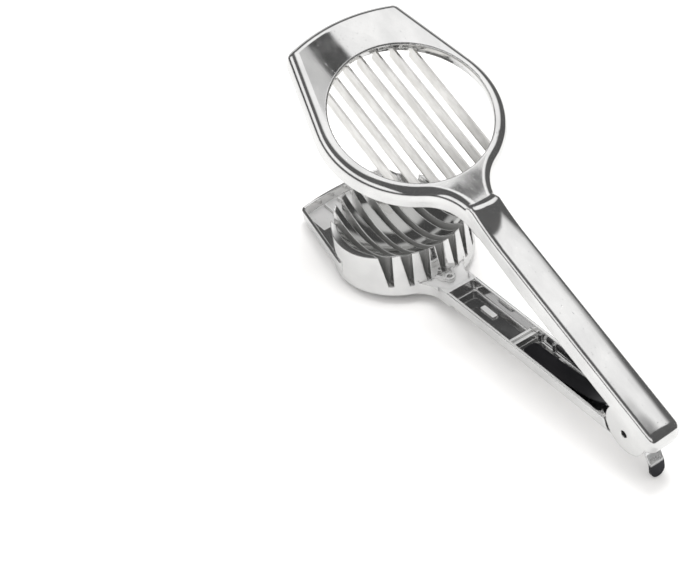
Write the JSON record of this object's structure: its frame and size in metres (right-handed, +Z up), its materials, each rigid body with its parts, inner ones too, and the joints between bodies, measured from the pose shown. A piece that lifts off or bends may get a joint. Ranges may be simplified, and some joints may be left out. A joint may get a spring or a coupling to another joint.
{
  "type": "egg slicer",
  "caption": "Hand-held tongs-type egg slicer in cast aluminium: a ring of thin blades on a hinged arm closes over a slotted bowl, opened by a leaf spring.",
  "frame": {"origin": "centre of the bounding box in X and Y, on the table in Z", "axes": "+X forward from the hinge to the jaws, +Y to the side, +Z up, with the jaws open and the tool at rest on its bowl and its latch"},
  "size_m": [0.2024, 0.073, 0.0983],
  "materials": {
    "casting": "polished die casting with fine scratches",
    "blade": "satin strip",
    "spring": "dark tempered spring steel",
    "pin": "plain steel",
    "latch": "bright strip with a dark rounded end"
  },
  "bodies": {
    "lower": {"lower_casting": "casting"},
    "upper": {"upper_casting": "casting", "blade_1": "blade", "blade_2": "blade", "blade_3": "blade", "blade_4": "blade", "blade_5": "blade", "blade_6": "blade", "blade_7": "blade", "hinge_pin": "pin", "leaf_spring": "spring", "spring_rivet": "pin", "latch_pin": "pin"},
    "latch": {"latch_lever": "latch"}
  },
  "joints": [
    {"name": "jaw_hinge", "type": "hinge", "parent": "lower", "child": "upper", "pos_m": [-0.08661, 0, 0.01725], "axis": [0, 1, 0], "range_deg": [0, 25.5], "stiffness_Nm_per_rad": 0.6, "springref_deg": -20.05, "deforming": ["leaf_spring"]},
    {"name": "latch_pivot", "type": "hinge", "parent": "upper", "child": "latch", "pos_m": [-0.09413, 0, 0.02265], "axis": [0, -1, 0], "range_deg": [0, 10]}
  ]
}
